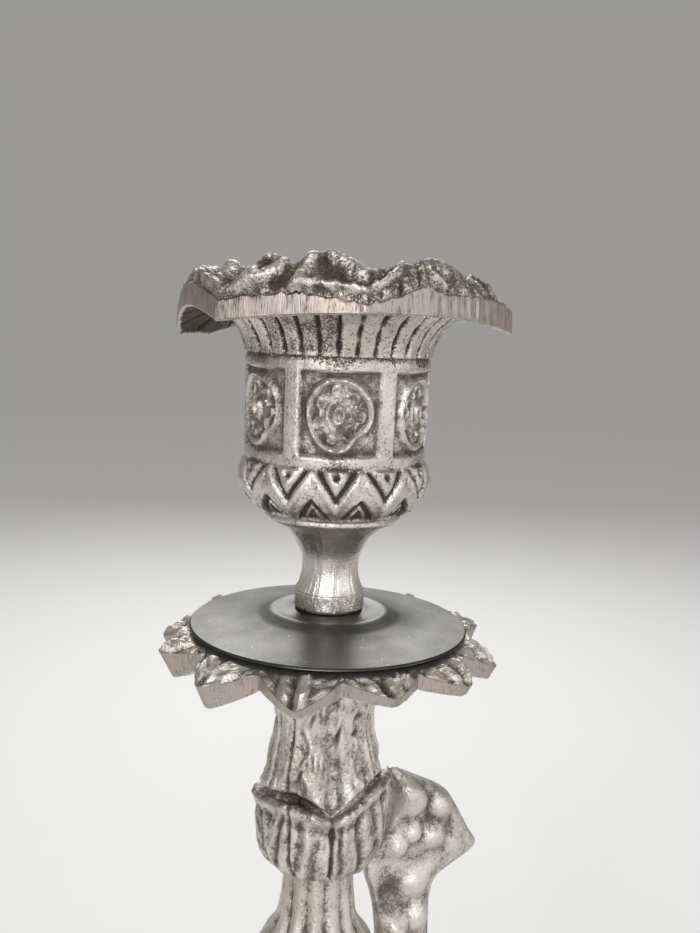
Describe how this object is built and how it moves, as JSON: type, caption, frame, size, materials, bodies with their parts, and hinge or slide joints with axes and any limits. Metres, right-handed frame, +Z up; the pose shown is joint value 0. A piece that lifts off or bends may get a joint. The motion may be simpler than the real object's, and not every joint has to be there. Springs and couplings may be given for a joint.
{
  "type": "candelabra",
  "caption": "Table candelabra of cast metal: domed lobed foot, baluster column, swinging scroll arms and ornate candle cups with wavy rims over star-shaped drip plates.",
  "frame": {"origin": "centre of the foot, on the table", "axes": "+Z up the column; the arms lie along X at rest; Y is across them"},
  "size_m": [0.3412, 0.1136, 0.3599],
  "materials": {
    "cast_silver_plate": "silver-plated cast brass, tarnished in its hollows and rubbed bright on its high places",
    "spun_pewter": "spun sheet, silver plated, smooth and dark with tarnish",
    "brass": "turned brass, dull",
    "steel": "stamped steel"
  },
  "bodies": {
    "column": {"foot": "cast_silver_plate", "foot_washer": "steel", "foot_nut": "brass", "tie_rod": "brass", "foot_collar": "cast_silver_plate", "lower_baluster": "cast_silver_plate", "arm_seat": "cast_silver_plate", "upper_baluster": "cast_silver_plate", "centre_knop": "cast_silver_plate", "centre_leaf_stem": "cast_silver_plate", "centre_star_plate": "cast_silver_plate", "centre_pan": "spun_pewter", "centre_cup_nut": "brass"},
    "centre_candle_cup": {"centre_cup": "cast_silver_plate"},
    "left_branch": {"left_arm": "cast_silver_plate", "left_arm_leaf": "cast_silver_plate", "left_leaf_screw": "brass", "left_stud": "brass", "left_knop": "cast_silver_plate", "left_leaf_stem": "cast_silver_plate", "left_star_plate": "cast_silver_plate", "left_pan": "spun_pewter", "left_cup_nut": "brass"},
    "left_candle_cup": {"left_cup": "cast_silver_plate"},
    "right_branch": {"right_arm": "cast_silver_plate", "right_arm_leaf": "cast_silver_plate", "right_leaf_screw": "brass", "right_stud": "brass", "right_knop": "cast_silver_plate", "right_leaf_stem": "cast_silver_plate", "right_star_plate": "cast_silver_plate", "right_pan": "spun_pewter", "right_cup_nut": "brass"},
    "right_candle_cup": {"right_cup": "cast_silver_plate"}
  },
  "joints": [
    {"name": "left_branch_swing", "type": "hinge", "parent": "column", "child": "left_branch", "pos_m": [0, 0, 0.121], "axis": [0, 0, 1], "range_deg": [-60, 60]},
    {"name": "right_branch_swing", "type": "hinge", "parent": "column", "child": "right_branch", "pos_m": [0, 0, 0.127], "axis": [0, 0, 1], "range_deg": [-60, 60]},
    {"name": "left_cup_turn", "type": "hinge", "parent": "left_branch", "child": "left_candle_cup", "pos_m": [-0.14, 0, 0.2915], "axis": [0, 0, 1], "continuous": true},
    {"name": "centre_cup_turn", "type": "hinge", "parent": "column", "child": "centre_candle_cup", "pos_m": [0, 0, 0.3265], "axis": [0, 0, 1], "continuous": true},
    {"name": "right_cup_turn", "type": "hinge", "parent": "right_branch", "child": "right_candle_cup", "pos_m": [0.14, 0, 0.2915], "axis": [0, 0, 1], "continuous": true}
  ]
}
